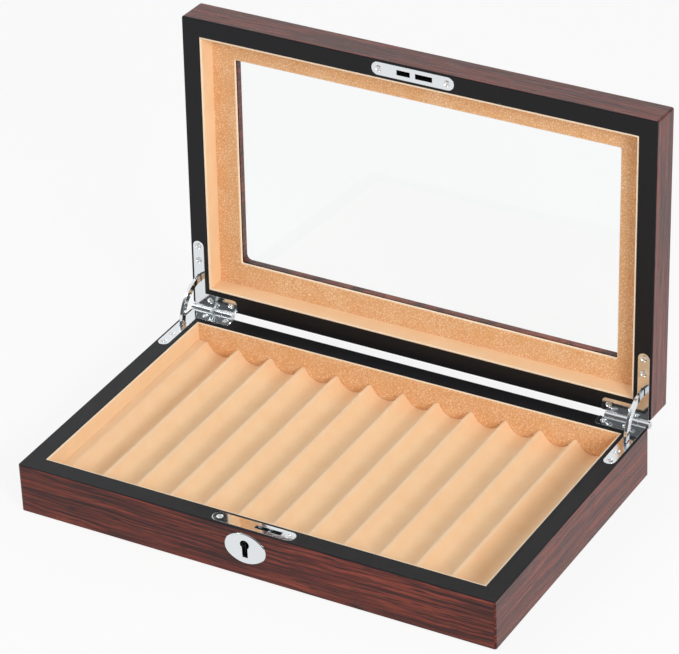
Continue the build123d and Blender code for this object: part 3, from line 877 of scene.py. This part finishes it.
@dataclass
class GroovedTray:
    """Board with twelve round-bottomed grooves, covered in brushed suede.

    The slopes that face left are drawn paler, a painted highlight, and so are the crests,
    partly the nap stretched over them and partly a painted highlight.
    """

    count: int = 12
    pitch: float = 24.7
    radius: float = 11.0
    depth: float = 8.6
    crest_drop: float = 12.5
    crest_softness: float = 0.75
    unevenness: float = 0.1
    end_run: float = 1.2
    end_drop: float = 0.35
    # painted highlight: the crests and the slopes that face left are drawn paler; on the crests
    # also stretched nap
    pale_reach: float = 1.4
    pale_run: float = 1.2
    slope_highlight_gain: float = 1.4
    crest_stretch_and_highlight: float = 0.22
    slope_highlight: float = 0.42
    columns: int = 620
    rows: int = 64

    def profile(self, x: np.ndarray) -> np.ndarray:
        """Give the height of the tray's top across the grooves.

        It is the lower of the flat crest and the nearest groove's circle, softened by a
        Gaussian as the cloth bridges the edge.

        Args:
            x: Places across the tray in millimetres, evenly spaced.

        Returns:
            Heights in millimetres.
        """
        crest = SIZES.base_height - self.crest_drop
        centre = crest - self.depth + self.radius
        first = -self.pitch * (self.count - 1) / 2
        nearest = np.clip(np.round((x - first) / self.pitch), 0, self.count - 1)
        off = x - (first + nearest * self.pitch)
        chord = np.sqrt(np.clip(self.radius**2 - off**2, 0, None))
        sharp = np.where(np.abs(off) < self.radius, np.minimum(crest, centre - chord), crest)
        step = x[1] - x[0]
        reach = int(4 * self.crest_softness / step)
        kernel = np.exp(-0.5 * (np.arange(-reach, reach + 1) * step / self.crest_softness) ** 2)
        padded = np.pad(sharp, reach, mode="edge")
        return np.convolve(padded, kernel / kernel.sum(), mode="valid")

    def build(self, finish: Any) -> Any:
        """Make the tray as a block whose top follows the profile.

        Args:
            finish: Suede that covers it.

        Returns:
            The tray.
        """
        half_x, half_y = (h - SIZES.lining - SIZES.tray_gap for h in SIZES.half_inside)
        x = np.linspace(-half_x, half_x, self.columns)
        y = np.linspace(-half_y, half_y, self.rows)[:, None]
        shape = self.profile(x)[None, :]
        top = shape + ripple(x[None, :], y * 0.5, 12, self.unevenness) - self.unevenness
        ends = np.minimum(half_y - np.abs(y), self.end_run)
        top = top - self.end_drop * (1 - ends / self.end_run) ** 2
        bottom = np.full_like(top, SIZES.floor_top)
        upper = np.stack(np.broadcast_arrays(x[None, :], y, top), axis=-1)
        lower = np.stack(np.broadcast_arrays(x[None, :], y, bottom), axis=-1)[:, ::-1]
        grid = np.concatenate([upper, lower], axis=1)
        fold = np.zeros(grid.shape[:2])
        crest = SIZES.base_height - self.crest_drop
        # painted highlight on the crests and on the slopes that face left
        on_crest = np.clip((top - crest + self.pale_reach) / self.pale_run, 0, 1)
        lit_slope = np.clip(np.gradient(shape[0], x)[None, :] * self.slope_highlight_gain, 0, 1)
        pale = self.crest_stretch_and_highlight * on_crest
        fold[:, : self.columns] = np.maximum(pale, self.slope_highlight * lit_slope)
        piece = make_piece("suede_groove_tray", [grid], False, finish, fold)
        return dress(piece, "base", "suede", "groove_tray")


@dataclass
class WindowBoard:
    """Frame of board round the window, wrapped in grained suede that rolls over its edge."""

    corner: float = 1.2
    unevenness: float = 0.05
    per_side: int = 60
    per_corner: int = 6
    edge_points: int = 13

    def path(self) -> tuple[np.ndarray, np.ndarray]:
        """Go once round a rectangle with rounded corners.

        Returns:
            Share of the half sizes and direction of the outward normal at each station.
        """
        spans = []
        normals = []
        side = np.linspace(-1, 1, self.per_side)[1:-1]
        turn = np.linspace(0, math.pi / 2, self.per_corner)
        for quarter in range(4):
            spin = quarter * math.pi / 2
            flat = np.stack([np.ones_like(side), side], axis=-1)
            u, v = np.concatenate([flat, np.ones((self.per_corner, 2))]).T
            c, s = round(math.cos(spin)), round(math.sin(spin))
            spans.append(np.stack([c * u - s * v, s * u + c * v], axis=-1))
            angles = np.concatenate([np.zeros_like(side), turn]) + spin
            normals.append(np.stack([np.cos(angles), np.sin(angles)], axis=-1))
        return np.concatenate(spans), np.concatenate(normals)

    def build(self, finish: Any) -> Any:
        """Carry the board's section round the window.

        A point at a distance d from the opening lies at share x (half + d - r) + r x normal,
        where r is the corner's radius, so the corners stay mitred.

        Args:
            finish: Suede that covers it.

        Returns:
            The board.
        """
        open_x = SIZES.width / 2 - SIZES.window_margin - SIZES.board_lap
        open_y = SIZES.depth / 2 - SIZES.window_margin - SIZES.board_lap
        reach = SIZES.half_inside[0] - open_x
        face, back = SIZES.board_face, SIZES.board_face + SIZES.board
        turn = np.linspace(math.pi / 2, -math.pi / 2, self.edge_points)
        middle = (face + back) / 2
        thick = SIZES.board / 2
        flat = np.linspace(reach, thick, 12)
        far = np.concatenate([flat, thick - thick * np.cos(turn), flat[::-1]])
        edge = middle + thick * np.sin(turn)
        level = np.concatenate([np.full_like(flat, back), edge, np.full_like(flat, face)])
        # the rolled edge is drawn paler: partly stretched nap, partly a painted highlight
        pale = np.concatenate([0 * flat, np.clip(np.cos(turn) * 1.1, 0, 1), 0 * flat])
        spans, normals = self.path()
        grow_x = open_x + far - self.corner
        grow_y = open_y + far - self.corner
        x = spans[:, :1] * grow_x[None, :] + self.corner * normals[:, :1]
        y = spans[:, 1:] * grow_y[None, :] + self.corner * normals[:, 1:]
        z = np.broadcast_to(level[None, :], x.shape)
        toward = ((far > 1.5 * thick) & (level < middle))[None, :]
        z = z + toward * np.abs(ripple(x, y, 31, self.unevenness))
        grid = swing_open(np.stack([x, y, z], axis=-1))
        fold = np.broadcast_to(pale[None, :], x.shape)
        piece = make_piece("suede_window_board", [grid], True, finish, fold)
        return dress(piece, "lid", "suede", "window_board")


# -------- screws
@dataclass
class CrossScrews:
    """Countersunk screws with a cross recess in a slightly domed head."""

    head_radius: float = 2.08
    shank_radius: float = 1.1
    length: float = 9.0
    dome: float = 0.09
    rim_drop: float = 0.28
    recess_depth: float = 0.75
    recess_reach: float = 1.4
    recess_width: float = 0.74
    recess_taper: float = 0.45
    softness: float = 0.14
    lip: float = 0.12
    tip: float = 0.02
    rings: int = 22
    spokes: int = 56

    def head(self, radius: np.ndarray, angle: np.ndarray) -> np.ndarray:
        """Give the height of the head's top.

        The dome falls with the square of the radius. The recess is the union of two bars,
        each the product of two soft steps, one along it and one across it.

        Args:
            radius: Distance from the screw's axis in millimetres.
            angle: Angle round the axis, zero along one bar.

        Returns:
            Heights above the plate's face in millimetres.
        """
        dome = self.dome - (self.dome + self.rim_drop) * (radius / self.head_radius) ** 2
        x, y = radius * np.cos(angle), radius * np.sin(angle)
        bars = []
        for long, short in ((x, y), (y, x)):
            reach = np.clip((self.recess_reach - np.abs(long)) / self.softness, 0, 1)
            width = np.clip((self.recess_width / 2 - np.abs(short)) / self.softness + 0.5, 0, 1)
            bars.append(reach * width)
        taper = 1 - self.recess_taper * np.clip(radius / self.recess_reach, 0, 1)
        return dome - self.recess_depth * taper * np.maximum(*bars)

    def screw(
        self, place: tuple[float, float], level: float, down: float, turn: float
    ) -> np.ndarray:
        """Lathe one screw with its recess turned to an angle.

        Args:
            place: Plan position of its axis.
            level: Height of the plate's face.
            down: Minus one if the screw points down, one if it points up.
            turn: Angle of the recess.

        Returns:
            Grid of points, rings x spokes x 3, that ends at the screw's tip.
        """
        angle = np.linspace(0, 2 * math.pi, self.spokes, endpoint=False)[None, :]
        radius = np.linspace(self.tip, self.head_radius, self.rings)[:, None]
        top = self.head(radius, angle)
        neck = self.head_radius - self.shank_radius + self.lip
        body_radius = np.array([[self.shank_radius], [self.shank_radius], [self.tip]])
        body_level = np.array([[-neck], [-self.length], [-self.length]])
        radius = np.concatenate([radius, body_radius])
        heights = np.concatenate([top, np.repeat(body_level, self.spokes, axis=1)])
        x = place[0] + radius * np.cos(angle + turn)
        y = place[1] + radius * np.sin(angle + turn)
        return np.stack([x, y, level - down * heights], axis=-1)

    def build(
        self, shell: Shell, places: list[tuple[float, float]], node: str, finish: Any
    ) -> Any:
        """Make the screws of one node.

        Args:
            shell: Part of the chest that they are in.
            places: Plan positions with the chest closed.
            node: CAD node that they stand for.
            finish: Metal of the screws.

        Returns:
            The screws as one piece.
        """
        random = np.random.default_rng(len(node))
        in_base = shell is Shell.BASE
        level = SIZES.base_height if in_base else SIZES.lid_rim
        down = -1.0 if in_base else 1.0
        grids = [
            self.screw(place, level, down, turn)
            for place, turn in zip(places, random.uniform(0, math.pi, len(places)))
        ]
        if not in_base:
            grids = [swing_open(grid) for grid in grids]
        piece = make_piece(f"cross_{node}", grids, False, finish, crease_angle=50)
        return dress(piece, shell.value, "screw_steel", node)


def dress(piece: Any, body: str, slot: str, *nodes: str) -> Any:
    """Seat a piece on its body and let it stand for its CAD nodes.

    Args:
        piece: Finished piece.
        body: CAD body that it moves with.
        slot: The record's material slot; not used.
        nodes: CAD nodes that it stands for.

    Returns:
        The piece.
    """
    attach(piece, body)
    if nodes:
        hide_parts(*nodes)
    LOG.info("%s rides on %s for %s", piece.name, body, ", ".join(nodes) or "nothing")
    return piece


# -------- assemblies
@dataclass
class Chest:
    """The whole chest: its CAD nodes with their finishes, and its new pieces."""

    frame: dict[str, Any]
    finishes: Finishes
    strap_x: float = 161.8
    strap_screws: tuple[float, float] = (71.1, 60.6)
    strip_screws: tuple[float, float] = (154.0, 138.5)
    strip_y: float = 99.8
    lock_screw_x: float = 24.1
    lock_y: float = -98.15

    def coat(self, finish: Any, *nodes: str) -> None:
        """Give CAD nodes one finish.

        Args:
            finish: Material.
            nodes: Names of the nodes.
        """
        for name in nodes:
            mesh = self.frame["nodes"][name].data
            mesh.materials.clear()
            mesh.materials.append(finish)
            LOG.info("%s is finished in %s", name, finish.name)

    def coat_nodes(self) -> None:
        """Finish every CAD node that stays in sight."""
        sides = [side.name.lower() for side in Side]
        made = self.finishes
        self.coat(made.base_wood, *(f"base_{side}_wall" for side in sides))
        self.coat(made.lid_wood, *(f"lid_{side}_wall" for side in sides), "lid_top_panel")
        self.coat(made.fibreboard, "base_floor")
        self.coat(made.felt, "base_felt")
        self.coat(made.glass, "glass_pane")
        for part in ("lower_leaf", "upper_leaf", "stay_arm"):
            self.coat(made.chrome, f"{part}_left", f"{part}_right")
        self.coat(made.chrome, "strike_plate", "escutcheon", "lock_claw")
        self.coat(made.face_plate, "lock_face_plate")
        self.coat(made.works, "hinge_pins", "lock_case", "lock_pivot_pin")
        self.coat(made.works, "lock_key_post", "lock_spring")

    def build(self) -> None:
        """Make the new pieces, part by part."""
        made = self.finishes
        for shell in Shell:
            linings = SuedeLinings(shell)
            for side in Side:
                rough = shell is Shell.BASE and side is Side.BACK
                linings.build(side, made.grained if rough else made.brushed)
        GroovedTray().build(made.brushed)
        WindowBoard().build(made.grained)
        right = [(self.strap_x, y) for y in self.strap_screws]
        right += [(x, self.strip_y) for x in self.strip_screws]
        hinge = right + [(-x, y) for x, y in right]
        lock = [(x, self.lock_y) for x in (self.lock_screw_x, -self.lock_screw_x)]
        screws = CrossScrews()
        screws.build(Shell.BASE, hinge, "base_hinge_screws", made.screw)
        screws.build(Shell.LID, hinge, "lid_hinge_screws", made.screw)
        screws.build(Shell.BASE, lock, "lock_plate_screws", made.screw)
        screws.build(Shell.LID, lock, "strike_plate_screws", made.screw)


# -------- studio
@dataclass(frozen=True)
class Softbox:
    """Square lamp that faces the middle of the chest, sized in millimetres, lit in watts."""

    name: str
    place: tuple[float, float, float]
    size: float
    power: float
    aim: tuple[float, float, float] = (0.0, 0.0, 60.0)

    def hang(self) -> None:
        """Hang the lamp."""
        lamp = bpy.data.lights.new(self.name, "AREA")
        lamp.size = self.size * MM
        lamp.energy = self.power
        light = add_object(self.name, lamp)
        light.location = Vector(self.place) * MM
        way = (Vector(self.aim) - Vector(self.place)) * MM
        light.rotation_euler = way.to_track_quat("-Z", "Y").to_euler()


@dataclass(frozen=True)
class Studio:
    """Pale floor, two soft lamps and the camera at the photograph's angle."""

    azimuth: float = 30.7648
    elevation: float = 31.3664
    roll: float = -2.6693
    lens: float = 200.94
    distance: float = 2555.6
    target: tuple[float, float, float] = (-95.98, 175.34, 0.0)
    sky: float = 0.41
    room: float = 0.12
    paper: str = "#fcfcfc"
    glow: float = 0.86
    floor_reach: float = 6000.0
    floor_cells: int = 8
    lamps: tuple[Softbox, ...] = (
        Softbox("key_softbox", (1800, -1250, 1200), 900, 32.0),
        Softbox("fill_softbox", (-1700, -700, 1700), 900, 11.0),
    )

    def set_up(self) -> None:
        """Make the floor, world, lamps and camera."""
        bpy.context.scene.view_settings.view_transform = "Standard"
        self.lay_floor()
        self.light_world()
        for lamp in self.lamps:
            lamp.hang()
        self.place_camera()

    def lay_floor(self) -> None:
        """Lay a pale floor that shows the camera a nearly white ground with a soft shadow."""
        cells, row = self.floor_cells, self.floor_cells + 1
        side = np.linspace(-self.floor_reach, self.floor_reach, row)
        x, y = np.meshgrid(side, side, indexing="ij")
        points = np.stack([x, y, np.full_like(x, -0.2)], axis=-1).reshape(-1, 3) * MM
        i, j = np.meshgrid(np.arange(cells), np.arange(cells), indexing="ij")
        corner = (i * row + j).reshape(-1, 1)
        mesh = bpy.data.meshes.new("studio_floor")
        mesh.from_pydata(points, [], corner + np.array([[0, row, row + 1, 1]]))
        material, tree = new_material("paper_sweep_white")
        paper = add_node(tree, "BsdfDiffuse", {0: linear(self.paper)})
        glow = add_node(tree, "Emission", {0: linear("#ffffff"), 1: 1.0})
        rays = add_node(tree, "LightPath", give=None).outputs
        seen = rays["Is Camera Ray"]
        for kind in ("Is Glossy Ray", "Is Transmission Ray"):
            either = {0: seen, 1: rays[kind]}
            seen = add_node(tree, "Math", either, operation="MAXIMUM")
        share = add_node(tree, "Math", {0: seen, 1: self.glow}, operation="MULTIPLY")
        both = {0: share, 1: paper, 2: glow}
        add_node(tree, "OutputMaterial", {0: add_node(tree, "MixShader", both)}, give=None)
        mesh.materials.append(material)
        floor = add_object("studio_floor", mesh)

    def light_world(self) -> None:
        """Light the chest evenly, and show white where a ray sees the world itself.

        Only mirrors see the dark room in front of the chest, from which it is photographed.
        """
        world = bpy.data.worlds.new("studio_tent")
        bpy.context.scene.world = world
        world.use_nodes = True
        tree = world.node_tree
        tree.nodes.clear()
        rays = add_node(tree, "LightPath", give=None).outputs
        both = {0: rays["Is Camera Ray"], 1: rays["Is Transmission Ray"]}
        seen = add_node(tree, "Math", both, operation="MAXIMUM")
        strength = add_node(tree, "MapRange", {0: seen, 3: self.sky, 4: 1.0})
        way = add_node(tree, "TexCoord", give="Object")
        ahead = add_node(tree, "SeparateXYZ", {0: way}, give="Y")
        dusk = {0: ahead, 1: -0.7, 2: -0.3, 3: self.room, 4: 1.0}
        mirrored = add_node(tree, "MapRange", dusk)
        choice = {0: rays["Is Glossy Ray"], 2: strength, 3: mirrored}
        strength = add_node(tree, "Mix", choice)
        tent = add_node(tree, "Background", {0: linear("#ffffff"), 1: strength})
        add_node(tree, "OutputWorld", {0: tent}, give=None)

    def place_camera(self) -> None:
        """Set the camera where the chest's corners fall on the photograph's.

        The view runs back along azimuth and elevation from the target, and the frame is
        rolled about it.
        """
        az, el, roll = (math.radians(a) for a in (self.azimuth, self.elevation, self.roll))
        flat = math.cos(el)
        back = Vector((math.sin(az) * flat, -math.cos(az) * flat, math.sin(el)))
        right = (-back).cross(Vector((0, 0, 1))).normalized()
        up = right.cross(-back)
        across = math.cos(roll) * right + math.sin(roll) * up
        upward = -math.sin(roll) * right + math.cos(roll) * up
        data = bpy.data.cameras.new("camera")
        data.sensor_width = 36.0
        data.lens = self.lens
        camera = add_object("camera", data)
        turn = Matrix((across, upward, back)).transposed().to_4x4()
        place = (Vector(self.target) + back * self.distance) * MM
        camera.matrix_world = Matrix.Translation(place) @ turn
        bpy.context.scene.camera = camera


def main() -> None:
    """Load the frame, dress the chest and set up the studio."""
    logging.basicConfig(level=logging.INFO, format="%(name)s: %(message)s")
    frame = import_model()
    chest = Chest(frame, Finishes())
    chest.coat_nodes()
    chest.build()
    Studio().set_up()


if __name__ == "__main__":
    main()
